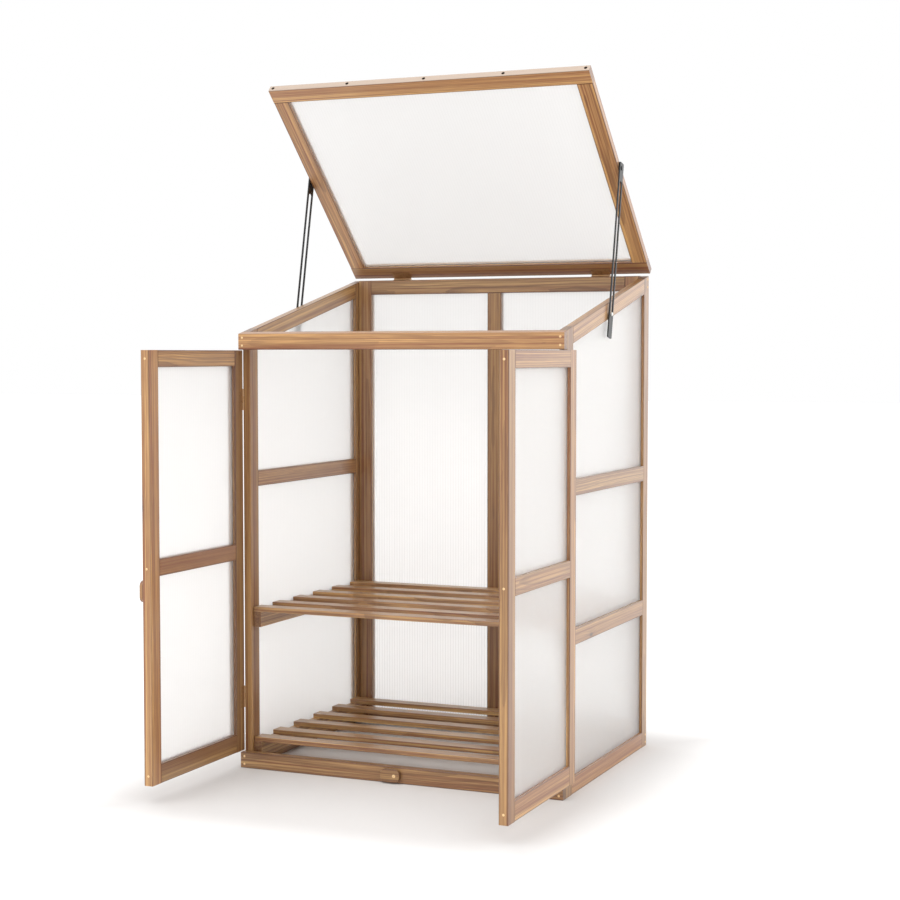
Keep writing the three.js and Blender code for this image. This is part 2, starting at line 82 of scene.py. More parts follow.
def linear(red, green, blue):
    """A colour read on a screen, from 0 to 255, as the light it stands for."""
    def channel(value):
        share = value / 255
        return share / 12.92 if share <= 0.04045 else ((share + 0.055) / 1.055) ** 2.4
    return tuple(channel(value) for value in (red, green, blue))


def opaque(colour):
    return (*colour, 1.0)


def colour_property(name, description, colour):
    return bpy.props.FloatVectorProperty(
        name=name, description=description, subtype="COLOR", size=3, min=0, max=1, default=colour)


def length_property(name, description, length):
    return bpy.props.FloatProperty(name=name, description=description, unit="LENGTH", default=length)


def share_property(name, description, share):
    return bpy.props.FloatProperty(name=name, description=description, min=0, max=1, default=share)


def angle_property(name, description, degrees):
    return bpy.props.FloatProperty(
        name=name, description=description, subtype="ANGLE", default=math.radians(degrees))


def strength_property(name, description, strength):
    return bpy.props.FloatProperty(name=name, description=description, min=0, default=strength)


class TimberSettings(bpy.types.PropertyGroup):
    """The boards' colours and grain"""

    honey: colour_property("Honey", "Colour of the pale streaks", linear(196, 155, 99))
    body: colour_property("Body", "Colour of most of a board", linear(160, 119, 75))
    russet: colour_property("Russet", "Colour of the reddish streaks", linear(127, 77, 46))
    late: colour_property("Summer wood", "Colour of the dark growth lines", linear(88, 51, 31))
    # Painted sheen: the lid's front edge is drawn paler for the light and sheen from above
    painted_sheen: colour_property("Painted_sheen", "Colour of the lid's pale front edge", linear(184, 166, 148))
    knot: colour_property("Knot", "Colour at the heart of a knot", linear(58, 34, 22))
    roughness: share_property("Roughness", "Roughness of the oiled surface", 0.5)
    oil: share_property("Oil", "Weight of the satin coat of oil", 0.85)
    shine: share_property("Shine", "Reflection of the bare wood; 0.5 is the usual", 0.35)
    oil_roughness: share_property("Oil roughness", "Roughness of the coat of oil", 0.3)
    relief: length_property("Relief", "Height of the raised grain", 0.0001)
    ring_pitch: length_property("Ring pitch", "Distance between growth lines", 0.0027)
    heart: length_property("Heartwood", "Distance from the log's heart where the wood is darkest", 0.014)
    sapwood: length_property("Sapwood", "Distance from the log's heart where the wood turns pale", 0.044)
    # The dark line along the eased edges is painted shade of the rounded edges, with some grime
    edge: length_property("Edge", "Width of the dark line along a board's eased edges", 0.003)
    slat_stock: length_property("Slat stock", "Thickness of a slat where it shows over its bearer", 0.0105)
    slat_pitch: length_property("Slat pitch", "Distance from slat to slat", 0.0986)
    roof_pitch: angle_property("Roof pitch", "Slope of the roof rails", 13.25)
    lid_pitch: angle_property("Lid pitch", "Slope of the open lid", -42.5)


class GlazingSettings(bpy.types.PropertyGroup):
    """The twin-wall sheets"""

    skin: colour_property("Skin", "Colour between the webs", linear(254, 253, 252))
    web: colour_property("Web", "Colour over a web between the two skins", linear(184, 180, 176))
    web_share: share_property("Web share", "How much a web shows", 0.12)
    low_web_share: share_property("Low web share", "How much more a web shows at the foot of the back", 0.4)
    low_end: length_property("Low end", "Height under which the back's webs show most", 0.15)
    high_end: length_property("High end", "Height over which they show least", 0.95)
    web_pitch: length_property("Web pitch", "Distance between webs", 0.0069)
    web_width: length_property("Web width", "Width of a web's soft line", 0.0022)
    clearness: share_property("Clearness", "Share of the light that a sheet's face lets through", 0.74)
    bending: bpy.props.FloatProperty(
        name="Bending", description="Index of refraction of the hollow sheet", min=1, max=2, default=1.2)
    frosting: share_property("Frosting", "Roughness that blurs what lies behind a sheet", 0.36)


class IronworkSettings(bpy.types.PropertyGroup):
    """Stays, hinges and screws"""

    stay: colour_property("Stay", "Colour of the coated stays", linear(18, 18, 19))
    worn: colour_property("Worn coat", "Colour where the stays' coat is rubbed", linear(72, 72, 74))
    brass: colour_property("Brass", "Colour of the screws", linear(240, 208, 158))
    tarnish: colour_property("Tarnish", "Colour of the dull patches on the screws", linear(206, 168, 116))
    bronze: colour_property("Bronze", "Colour of the aged hinges", linear(172, 136, 98))
    bronze_dull: colour_property("Dull bronze", "Colour of the hinges' dark patches", linear(112, 84, 58))
    zinc: colour_property("Zinc", "Colour of the bright guide pins", linear(226, 226, 222))
    # Painted shade: the lid's screws are drawn dark for the shade of their holes
    sunk: colour_property("Sunk screws", "Colour of the dark screws in the lid's edge", linear(44, 32, 24))
    brass_metal: share_property("Brass metal", "How metallic the screws look", 0.3)
    brass_roughness: share_property("Brass roughness", "Roughness of the screws", 0.4)
    bronze_metal: share_property("Bronze metal", "How metallic the hinges look", 0.8)
    bronze_roughness: share_property("Bronze roughness", "Roughness of the hinges", 0.45)
    zinc_roughness: share_property("Zinc roughness", "Roughness of the guide pins", 0.28)
    leaf_proud: length_property("Leaf", "Least height of a hinge leaf over the wood", 0.00005)
    leaf_reach: length_property("Leaf reach", "Distance from a roof hinge's pin to its leaf's end", 0.0213)
    leaf_drop: length_property("Leaf drop", "Depth of a roof hinge's leaf below its pin", 0.00035)
    knuckle: length_property("Knuckle", "Radius that takes in a hinge's knuckles", 0.00275)
    head: length_property("Screw head", "Diameter of a wood screw's head", 0.0052)
    large_head: length_property("Large screw head", "Diameter of a head on a button or the lid", 0.0076)
    dome: length_property("Screw dome", "Height of a screw head above the wood", 0.0008)
    recess: length_property("Recess", "Width of the cross recess's arms", 0.0011)
    screw_inset: length_property("Screw inset", "Distance of the lid's last screws from its sides", 0.009)


class StageSettings(bpy.types.PropertyGroup):
    """Camera, floor and lamps"""

    camera_place: bpy.props.FloatVectorProperty(
        name="Camera", description="Where the camera stands", subtype="XYZ", unit="LENGTH",
        default=(1.6239, -3.4837, 0.9218))
    camera_turn: angle_property("Turn", "The camera's turn to the left", 23.309)
    camera_tip: angle_property("Tip", "How far the camera looks down", 3.05)
    lens: bpy.props.FloatProperty(
        name="Lens", description="Focal length in millimetres on a 36 mm sensor", default=72.147)
    floor_size: length_property("Floor", "Half the floor's side", 30.0)
    floor: colour_property("Floor colour", "Colour of the floor to the light", (0.88, 0.88, 0.88))
    floor_near: colour_property(
        "Floor near", "Colour seen on the floor in the shade of the object", (0.74, 0.725, 0.715))
    floor_seen: colour_property(
        "Floor seen", "Colour seen or mirrored on the floor elsewhere", (0.97, 0.965, 0.96))
    shade_reach: length_property("Shade", "How far the shade spreads on the floor", 0.2)
    sky: strength_property("Sky", "Strength of the even light", 0.76)
    softness: angle_property("Softness", "How wide each lamp looks from the object", 60)
    top: strength_property("Top lamp", "Strength of the lamp overhead", 1.32)
    key: strength_property("Key lamp", "Strength of the high lamp at the right", 0.3)
    side: strength_property("Side lamp", "Strength of the lamp at the right", 0.56)
    front: strength_property("Front lamp", "Strength of the lamp in front", 0.12)
    left: strength_property("Left lamp", "Strength of the high lamp at the left", 0.39)
    rim: strength_property("Rim lamp", "Strength of the lamp at the back", 0.62)


# How pale some boards are drawn, by the end of their names; 1 is the usual. Each factor is partly the board's own
# tone and partly painted light and shade: boards low down, between the open doors and at the back are darker for
# the shade there, and boards that catch the light and a sheen are paler

BOARD_TONES_AND_PAINTED_LIGHT = {
    "front_post": 0.88,
    "left_door_hinge_stile": 0.78,
    "left_door_bottom_rail": 0.84,
    "left_door_middle_rail": 1.07,
    "left_door_top_rail": 1.02,
    "left_door_free_stile": 1.28,
    "left_upper_rail": 1.06,
    "right_door_hinge_stile": 1.22,
    "right_door_free_stile": 0.92,
    "right_door_bottom_rail": 1.34,
    "right_door_middle_rail": 1.05,
    "right_door_top_rail": 1.07,
    "right_back_post": 0.94,
    "right_bottom_rail": 1.3,
    "back_centre_post": 0.8,
    "back_top_rail": 0.86,
    "front_top_rail": 1.27,
    "front_bottom_rail": 0.88,
    "base_turn_button": 0.8,
    "lid_back_rail": 0.95,
    "lid_front_rail": 1.44,
    "lid_left_rail": 1.22,
    "lid_right_rail": 1.1,
}

# How often each pattern of the wood varies in a metre, along the grain and across it

SWAY_SCALES = (1.7, 4)
RIPPLE_SCALES = (14, 130)
STREAK_SCALES = (1.1, 210)
FIBRE_SCALES = (16, 620)
BROAD_SCALES = (1.3, 45)
KNOT_SCALES = (7, 19)

# What differs from board to board: a rate that sets the boards apart, and the ends of the range

BOARD_RANGES = {
    "depth": (2.9, 0.95, 1.05),
    "turn": (3.7, 0.0, FULL_TURN),
    "heart": (5.3, 0.022, 0.067),
    "lean": (2.3, -0.008, 0.008),
    "line": (1.9, 0.22, 0.44),
    "green": (4.7, 1.0, 0.94),
    "blue": (4.7, 1.0, 0.9),
}

# How far the patterns move from board to board, from slat to slat and between the bearers

BOARD_SHIFT = 7.31
SLAT_SHIFTS = (3.7, 0.31)
BEARER_SHIFT = 2.0
FIRST_SHELF_SEED = 60

# How far the log's heart wanders, a knot bends the rings, and the rings pull the streaks

SWAY = 0.02
DEEP_SWAY_SHARE = 0.6
RIPPLE_SHARE = 0.5
KNOT_BEND = 0.005
STREAK_PULL = 60

# Where the soft steps in the wood start and end, and the share of places without a knot

LATE_STEP = (0.35, 0.92)
KNOT_STEP = (0.05, 0.13)
HALO_STEP = (0.05, 0.4)
SOIL_AND_SHADE_STEP = (0.3, 0.5)
END_GRAIN_STEP = (0.6, 0.9)
CLEAR_SHARE = 0.84

# How much each pattern counts in the wood's colour and in its relief

TONE_SHARES = (0.65, 0.2, 0.15)
TONE_STOP_SHARES = (0.39, 0.5, 0.61)
HEARTWOOD_SHARE = 0.6
EDGE_CORE_SHARE = 0.25
EDGE_SHARE = 0.4
EDGE_SOIL_AND_SHADE_SHARE = 0.35
END_GRAIN_SHARE = 0.6
HALO_SHARE = 0.3
KNOT_SHARE = 0.9
PAINTED_SHEEN_SHARE = 0.8
FIBRE_RELIEF = 0.5
LINE_RELIEF = 0.5
KNOT_RELIEF = 0.4
FIBRE_ROUGHNESS = 0.16

# A web's core and relief as shares of its width, and how much the sheets are clouded

WEB_CORE_SHARE = 0.1
WEB_RELIEF_SHARE = 0.1
CLOUD_SHARE = 0.02
CLOUD_ROUGHNESS = 0.06

# How much the worn and the dull places show on the metal

SCUFF_SHARE = 0.5
PATCH_SHARE = 0.55
PATCH_ROUGHNESS = 0.2
SPECK_SHARE = 0.3

# Where each lamp's light goes

LAMP_DIRECTIONS = {
    "top": (0.1, 0.2, -1.0),
    "key": (-0.75, 0.5, -0.65),
    "side": (-1.0, 0.1, -0.2),
    "front": (0.1, 1.0, -0.25),
    "left": (0.55, 0.75, -0.65),
    "rim": (-0.3, -1.0, -0.25),
}

# The Mix node's sockets for each kind of value: its factor, its two inputs and its result

MIX_SOCKETS = {"RGBA": (0, 6, 7, 2), "VECTOR": (0, 4, 5, 1), "FLOAT": (0, 2, 3, 0)}


# Shader sums

class Wire:
    """A socket in a material's tree that sums can be written with."""

    def __init__(self, tree, socket):
        self.tree = tree
        self.socket = socket

    def node(self, kind, settings=None, inputs=None, output=0):
        """Adds a node of a kind: first its settings, then the values or links of its sockets."""
        made = self.tree.nodes.new(kind)
        for name, value in (settings or {}).items():
            if name == "stops":
                set_stops(made.color_ramp, value)
            else:
                setattr(made, name, value)
        for name, value in (inputs or {}).items():
            if isinstance(value, Wire):
                self.tree.links.new(value.socket, made.inputs[name])
            else:
                made.inputs[name].default_value = value
        return Wire(self.tree, made.outputs[output])

    def math(self, operation, *others):
        inputs = dict(enumerate((self, *others)))
        return self.node("ShaderNodeMath", {"operation": operation}, inputs)

    def __add__(self, other):
        return self.math("ADD", other)

    def __radd__(self, other):
        return self.math("ADD", other)

    def __sub__(self, other):
        return self.math("SUBTRACT", other)

    def __rsub__(self, other):
        return (self * -1) + other

    def __mul__(self, other):
        return self.math("MULTIPLY", other)

    def __rmul__(self, other):
        return self.math("MULTIPLY", other)

    def __truediv__(self, other):
        return self.math("DIVIDE", other)

    def __gt__(self, other):
        return self.math("GREATER_THAN", other)

    def __lt__(self, other):
        return self.math("LESS_THAN", other)

    def __abs__(self):
        return self.math("ABSOLUTE")

    def parts(self):
        """The three parts of a vector."""
        return [self.node("ShaderNodeSeparateXYZ", None, {0: self}, index) for index in range(3)]

    def vector(self, first, second, third):
        return self.node("ShaderNodeCombineXYZ", None, {0: first, 1: second, 2: third})

    def ramp(self, low, high):
        """0 below low and 1 above high, with a soft step between."""
        settings = {"interpolation_type": "SMOOTHSTEP"}
        inputs = {"Value": self, "From Min": low, "From Max": high}
        return self.node("ShaderNodeMapRange", settings, inputs)

    def around(self, middle, spread):
        """A middle value where this is a half, spread to both sides as this goes from 0 to 1."""
        return (self - 0.5) * spread + middle

    def blend(self, first, second, kind="RGBA"):
        """first where this is 0 and second where it is 1."""
        factor, one, two, result = MIX_SOCKETS[kind]
        inputs = {factor: self, one: first, two: second}
        return self.node("ShaderNodeMix", {"data_type": kind}, inputs, result)

    def tinted(self, tint):
        """This colour times another."""
        factor, one, two, result = MIX_SOCKETS["RGBA"]
        settings = {"data_type": "RGBA", "blend_type": "MULTIPLY"}
        inputs = {factor: 1.0, one: self, two: opaque(tint)}
        return self.node("ShaderNodeMix", settings, inputs, result)

    def noise(self, scale=1.0, detail=2.0, roughness=0.5):
        inputs = {"Vector": self, "Scale": scale, "Detail": detail, "Roughness": roughness}
        return self.node("ShaderNodeTexNoise", None, inputs)

    def bump(self, strength, distance):
        inputs = {"Strength": strength, "Distance": distance, "Height": self}
        return self.node("ShaderNodeBump", None, inputs)


def set_stops(ramp, stops):
    """Places the stops of a colour ramp: pairs of a place and a colour."""
    for place, colour in stops[2:]:
        ramp.elements.new(place)
    for element, (place, colour) in zip(ramp.elements, stops):
        element.position = place
        element.color = colour


def new_material(name):
    """A new material, its shader node, and the place on a piece in object coordinates."""
    material = bpy.data.materials.new(name)
    material.use_nodes = True
    tree = material.node_tree
    start = tree.nodes.new("ShaderNodeTexCoord")
    return material, tree.nodes["Principled BSDF"], Wire(tree, start.outputs["Object"])


def surface_normal(place):
    """The way that each surface of a piece faces."""
    return place.node("ShaderNodeTexCoord", output="Normal")


def feed(shader, **values):
    """Links a wire to, or sets a constant on, the shader's sockets. Underscores stand for spaces."""
    for name, value in values.items():
        socket = shader.inputs[name.replace("_", " ")]
        if isinstance(value, Wire):
            value.tree.links.new(value.socket, socket)
        else:
            socket.default_value = value


def set_material(piece, material):
    piece.data.materials.clear()
    piece.data.materials.append(material)


def in_slot(slot):
    """The names of the frame's nodes in a material slot of the record."""
    return [item["node"] for item in frame["record"]["subparts"] if item["material_slot"] == slot]


# Timber

def varied(what, seed):
    """One of the numbers that differ from board to board."""
    rate, start, end = BOARD_RANGES[what]
    return start + (end - start) * (0.5 + 0.5 * math.sin(rate * seed + 1))


def board_tone_and_painted_light(name, seed):
    """How pale a board is drawn, about 1: its own tone, times a factor that is partly painted light and shade."""
    chosen = (depth for ending, depth in BOARD_TONES_AND_PAINTED_LIGHT.items() if name.endswith(ending))
    return varied("depth", seed) * next(chosen, 1.0)


def stretched(grain, scales, shift, pull=0.0):
    """The place in a board, stretched to a pattern's scales, shifted along it and pulled across."""
    along, across, deep = grain
    lengthwise, crosswise = scales
    return along.vector(along * lengthwise + shift, across * crosswise + pull, deep * crosswise)


def growth(grain, seed, settings):
    """Distance from the log's heart, which wanders along the board, and the share of dark line."""
    along, across, deep = grain
    shift = BOARD_SHIFT * seed
    turn = varied("turn", seed)
    heart = varied("heart", seed)
    path = stretched(grain, SWAY_SCALES, shift).noise()
    sway = (path - 0.5) * SWAY + along * varied("lean", seed)
    first = across + sway - heart * math.cos(turn)
    second = deep + sway * DEEP_SWAY_SHARE - heart * math.sin(turn)
    distance = (first * first + second * second).math("SQRT")
    ripple = stretched(grain, RIPPLE_SCALES, shift).noise()
    year = (distance / settings.ring_pitch + ripple * RIPPLE_SHARE).math("FRACT")
    return distance, year.ramp(*LATE_STEP)


def knots(grain, seed):
    """1 at the heart of a knot, and a wider halo round it."""
    shift = BOARD_SHIFT * seed
    cell = {"Vector": stretched(grain, KNOT_SCALES, shift, shift), "Scale": 1.0}
    near = grain[0].node("ShaderNodeTexVoronoi", {"feature": "F1"}, cell, "Distance")
    tint = grain[0].node("ShaderNodeTexVoronoi", {"feature": "F1"}, cell, "Color")
    chosen = tint.parts()[0] > CLEAR_SHARE
    return [(1 - near.ramp(*step)) * chosen for step in (KNOT_STEP, HALO_STEP)]


def edge_line(across, deep, halves, settings):
    """1 on the eased long edges of a board with these half sizes, where painted shade and some grime darken the
    wood.
    """
    inset = (halves[0] - abs(across)).math("MAXIMUM", halves[1] - abs(deep))
    return 1 - inset.ramp(EDGE_CORE_SHARE * settings.edge, settings.edge)


def wood_colour(patterns, settings):
    """The colour of the wood where its patterns meet, mixed by their shares."""
    streaks, fibres, broad = (pattern * share for pattern, share in zip(patterns, TONE_SHARES))
    tone = streaks + fibres + broad
    colours = [opaque(colour) for colour in (settings.russet, settings.body, settings.honey)]
    stops = list(zip(TONE_STOP_SHARES, colours))
    return tone.node("ShaderNodeValToRGB", {"stops": stops}, {0: tone})


def finish_timber(shader, settings, grain, facing, seed, depth, halves=None):
    """Feeds a shader with oiled softwood on coordinates whose first part follows the grain."""
    along, across, deep = grain
    shift = BOARD_SHIFT * seed
    late = opaque(settings.late)
    knot, halo = knots(grain, seed)
    distance, line = growth((along, across + halo * KNOT_BEND, deep), seed, settings)
    pull = distance * STREAK_PULL
    streaks = stretched(grain, STREAK_SCALES, shift, pull).noise(detail=3.0, roughness=0.6)
    fibres = stretched(grain, FIBRE_SCALES, shift).noise(roughness=0.6)
    broad = stretched(grain, BROAD_SCALES, shift).noise()
    colour = wood_colour((streaks, fibres, broad), settings)
    heartwood = 1 - distance.ramp(settings.heart, settings.sapwood)
    colour = (heartwood * HEARTWOOD_SHARE).blend(colour, opaque(settings.russet))
    colour = (line * varied("line", seed)).blend(colour, late)
    # Tints the wood by the board's paleness, which is partly painted light and shade
    colour = colour.tinted((depth, depth * varied("green", seed), depth * varied("blue", seed)))
    if halves:
        # Painted shade along the eased edges, with some grime, stronger in patches
        soil_and_shade = broad.ramp(*SOIL_AND_SHADE_STEP) * EDGE_SOIL_AND_SHADE_SHARE + EDGE_SHARE
        colour = (edge_line(across, deep, halves, settings) * soil_and_shade).blend(colour, late)
    colour = (abs(facing).ramp(*END_GRAIN_STEP) * END_GRAIN_SHARE).blend(colour, late)
    colour = (halo * HALO_SHARE).blend(colour, late)
    colour = (knot * KNOT_SHARE).blend(colour, opaque(settings.knot))
    height = fibres * FIBRE_RELIEF + line * LINE_RELIEF - knot * KNOT_RELIEF
    feed(
        shader,
        Base_Color=colour,
        Roughness=fibres.around(settings.roughness, FIBRE_ROUGHNESS),
        Normal=height.bump(strength=0.5, distance=settings.relief),
        Specular_IOR_Level=settings.shine,
        Coat_Weight=settings.oil,
        Coat_Roughness=settings.oil_roughness,
    )
    return colour


def pitch_of(name, settings):
    """The slope at which a board lies."""
    if name.startswith("lid_"):
        return settings.lid_pitch
    return settings.roof_pitch if name.endswith("roof_rail") else 0.0


def levelled_box(name, pitch):
    """The lowest and highest corners of a board turned level about x."""
    turn = Matrix.Rotation(-pitch, 3, "X")
    places = [turn @ vertex.co for vertex in frame["nodes"][name].data.vertices]
    return [Vector([pick(place[axis] for place in places) for axis in range(3)]) for pick in (min, max)]


def grain_first(items, longest):
    """A vector's three parts in order, the one along the grain first."""
    return [items[(longest + step) % 3] for step in range(3)]


def turned(wire, angle):
    """Coordinates or normals turned about x."""
    settings = {"rotation_type": "X_AXIS"}
    return wire.node("ShaderNodeVectorRotate", settings, {"Vector": wire, "Angle": angle})


def board_material(name, seed, settings):
    """Wood whose grain follows the board's length, measured from the board's middle."""
    pitch = pitch_of(name, settings)
    low, high = levelled_box(name, pitch)
    size = high - low
    longest = max(range(3), key=lambda axis: size[axis])
    material, shader, place = new_material(name + "_wood")
    level, facing = place, surface_normal(place)
    if pitch:
        level, facing = turned(level, -pitch), turned(facing, -pitch)
    parts = grain_first(level.parts(), longest)
    grain = [part - centre for part, centre in zip(parts, grain_first((low + high) / 2, longest))]
    halves = grain_first(size / 2, longest)[1:]
    depth = board_tone_and_painted_light(name, seed)
    faces = facing.parts()
    colour = finish_timber(shader, settings, grain, faces[longest], seed, depth, halves)
    # Painted sheen: the lid's front rail is drawn paler on its front face, where the light from above falls
    if name == "lid_front_rail":
        painted_sheen = (faces[1] < FRONT_FACING) * PAINTED_SHEEN_SHARE
        colour = painted_sheen.blend(colour, opaque(settings.painted_sheen))
        feed(shader, Base_Color=colour)
    return material, shader, place, colour


class GREENHOUSE_OT_timber(bpy.types.Operator):
    """Gives each board its own run of planed softwood"""

    bl_idname = "greenhouse.timber"
    bl_label = "Finish the boards"

    def execute(self, context):
        settings = context.scene.greenhouse_timber
        ironwork = context.scene.greenhouse_ironwork
        for seed, name in enumerate(in_slot("timber")):
            if name in SHELVES:
                continue
            material, shader, place, colour = board_material(name, seed, settings)
            if name.endswith("front_post"):
                plate_hinges(shader, colour, front_post_iron(place, name, ironwork), ironwork)
            if name == "back_top_rail":
                plate_hinges(shader, colour, back_rail_iron(place, settings, ironwork), ironwork)
            set_material(frame["nodes"][name], material)
        return {"FINISHED"}


def within(part, node, axis):
    """1 where a coordinate lies between a node's ends on an axis."""
    low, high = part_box(node)
    return abs(part - (low[axis] + high[axis]) / 2) < (high[axis] - low[axis]) / 2


def front_post_iron(place, name, ironwork):
    """1 on the fixed hinge leaves and knuckles that stand out of a front post."""
    side = name.split("_")[0]
    x, y, z = place.parts()
    pin = joint(side + "_door_hinge")["pos_m"]
    post_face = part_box(name)[0][1]
    out = (x - pin[0]) * (x - pin[0]) + (y - pin[1]) * (y - pin[1])
    iron = (out < ironwork.knuckle ** 2).math("MAXIMUM", y < post_face)
    levels = [within(z, side + "_door_" + level + "_hinge", 2) for level in ("upper", "lower")]
    return iron * levels[0].math("MAXIMUM", levels[1])


def back_rail_iron(place, settings, ironwork):
    """1 on the fixed hinge leaves and knuckles that lie in the back rail's pockets."""
    x, y, z = place.parts()
    pin = joint("lid_hinge")["pos_m"]
    cos, sin = math.cos(settings.roof_pitch), math.sin(settings.roof_pitch)
    rise = (z - pin[2]) * cos - (y - pin[1]) * sin
    reach = (y - pin[1]) * cos + (z - pin[2]) * sin
    leaf = (rise > -ironwork.leaf_drop) * (reach > -ironwork.leaf_reach)
    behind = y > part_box("back_left_stile")[1][1] + ironwork.leaf_proud
    sides = [within(x, "lid_" + side + "_hinge", 0) for side in ("left", "right")]
    return leaf.math("MAXIMUM", behind) * sides[0].math("MAXIMUM", sides[1])


def plate_hinges(shader, colour, mask, ironwork):
    """Turns the wood into aged metal where the mask is 1."""
    wood_roughness = Wire(colour.tree, shader.inputs["Roughness"].links[0].from_socket)
    feed(
        shader,
        Base_Color=mask.blend(colour, opaque(ironwork.bronze)),
        Roughness=mask.blend(wood_roughness, ironwork.bronze_roughness, "FLOAT"),
        Metallic=mask * ironwork.bronze_metal,
    )


class GREENHOUSE_OT_shelves(bpy.types.Operator):
    """Gives the slats a grain from side to side and the bearers one from front to back"""

    bl_idname = "greenhouse.shelves"
    bl_label = "Finish the shelves"

    def execute(self, context):
        settings = context.scene.greenhouse_timber
        for seed, name in enumerate(SHELVES, start=FIRST_SHELF_SEED):
            back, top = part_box(name)[1][1:]
            material, shader, place = new_material(name + "_wood")
            x, y, z = place.parts()
            on_bearer = z < top - settings.slat_stock
            slat = ((y - back) / settings.slat_pitch).math("FLOOR")
            along, across = (slat * shift for shift in SLAT_SHIFTS)
            of_slats = place.vector(x + along, y + across, z - top)
            of_bearers = place.vector(y + x * BEARER_SHIFT, z, x)
            grain = on_bearer.blend(of_slats, of_bearers, "VECTOR").parts()
            faces = surface_normal(place).parts()
            facing = on_bearer.blend(faces[0], faces[1], "FLOAT")
            finish_timber(shader, settings, grain, facing, seed, board_tone_and_painted_light(name, seed))
            set_material(frame["nodes"][name], material)
        return {"FINISHED"}


# Glazing

def glazing_material(name, across, low_share, settings):
    """A hollow sheet: white skins that let light through, and webs that show as fine soft lines."""
    material, shader, place = new_material(name + "_twinwall")
    parts = place.parts()
    away = parts[across].math("PINGPONG", settings.web_pitch / 2)
    web = 1 - away.ramp(WEB_CORE_SHARE * settings.web_width, settings.web_width / 2)
    cloud = place.noise(scale=3.0)
    low = 1 - parts[2].ramp(settings.low_end, settings.high_end)
    share = web * (low * low_share + settings.web_share) + cloud * CLOUD_SHARE
    feed(
        shader,
        Base_Color=share.blend(opaque(settings.skin), opaque(settings.web)),
        Roughness=cloud.around(settings.frosting, CLOUD_ROUGHNESS),
        Normal=web.bump(strength=0.12, distance=WEB_RELIEF_SHARE * settings.web_width),
        Transmission_Weight=settings.clearness,
        IOR=settings.bending,
    )
    return material


class GREENHOUSE_OT_glazing(bpy.types.Operator):
    """Makes the sheets translucent, with their webs up and down"""

    bl_idname = "greenhouse.glazing"
    bl_label = "Finish the sheets"

    def execute(self, context):
        settings = context.scene.greenhouse_glazing
        materials = {
            0: glazing_material("x_spaced", 0, settings.low_web_share, settings),
            1: glazing_material("y_spaced", 1, 0.0, settings),
        }
        for name in in_slot("glazing"):
            across = 0 if name.startswith(("lid", "back")) else 1
            set_material(frame["nodes"][name], materials[across])
        return {"FINISHED"}


# Ironwork

def coated_steel(settings):
    """A black coat with a fine grain, rubbed in places."""
    material, shader, place = new_material("coated_steel")
    scuffs = place.noise(scale=220.0, detail=4.0, roughness=0.65).ramp(low=0.62, high=0.74)
    grain = place.noise(scale=900.0)
    feed(
        shader,
        Base_Color=(scuffs * SCUFF_SHARE).blend(opaque(settings.stay), opaque(settings.worn)),
        Roughness=grain.around(middle=0.375, spread=0.15),
        Metallic=0.2,
        Normal=grain.bump(strength=0.2, distance=0.0001),
    )
    return material


def plated(name, bright, dull, metallic, roughness):
    """Metal plating with dull patches and a fine brushed surface."""
    material, shader, place = new_material(name)
    patches = place.noise(scale=160.0, detail=3.0, roughness=0.6).ramp(low=0.5, high=0.75)
    brushing = place.noise(scale=700.0)
    feed(
        shader,
        Base_Color=(patches * PATCH_SHARE).blend(opaque(bright), opaque(dull)),
        Roughness=patches * PATCH_ROUGHNESS + roughness,
        Metallic=metallic,
        Normal=brushing.bump(strength=0.15, distance=0.00005),
    )
    return material


def sunk_screw(settings):
    """A dull dark head at the bottom of its hole; its darkness is painted shade of the hole."""
    material, shader, place = new_material("sunk_screw")
    specks = place.noise(scale=600.0)
    colour = (specks * SPECK_SHARE).blend(opaque(settings.sunk), opaque(settings.worn))
    feed(shader, Base_Color=colour, Roughness=0.8, Specular_IOR_Level=0.0)
    return material


class GREENHOUSE_OT_ironwork(bpy.types.Operator):
    """Coats the stays and plates the hinges and the guide pins"""

    bl_idname = "greenhouse.ironwork"
    bl_label = "Finish the stays, hinges and pins"

    def execute(self, context):
        settings = context.scene.greenhouse_ironwork
        coated = coated_steel(settings)
        zinc = plated("zinc", settings.zinc, settings.worn, 1.0, settings.zinc_roughness)
        bronze = plated(
            "aged_bronze", settings.bronze, settings.bronze_dull,
            settings.bronze_metal, settings.bronze_roughness)
        finishes = {"black_steel": coated, "bright_steel": zinc, "brass": bronze}
        for slot, material in finishes.items():
            for name in in_slot(slot):
                set_material(frame["nodes"][name], material)
        return {"FINISHED"}


# Screws: one tree sets a domed head with a cross recess on each point, facing as the point says

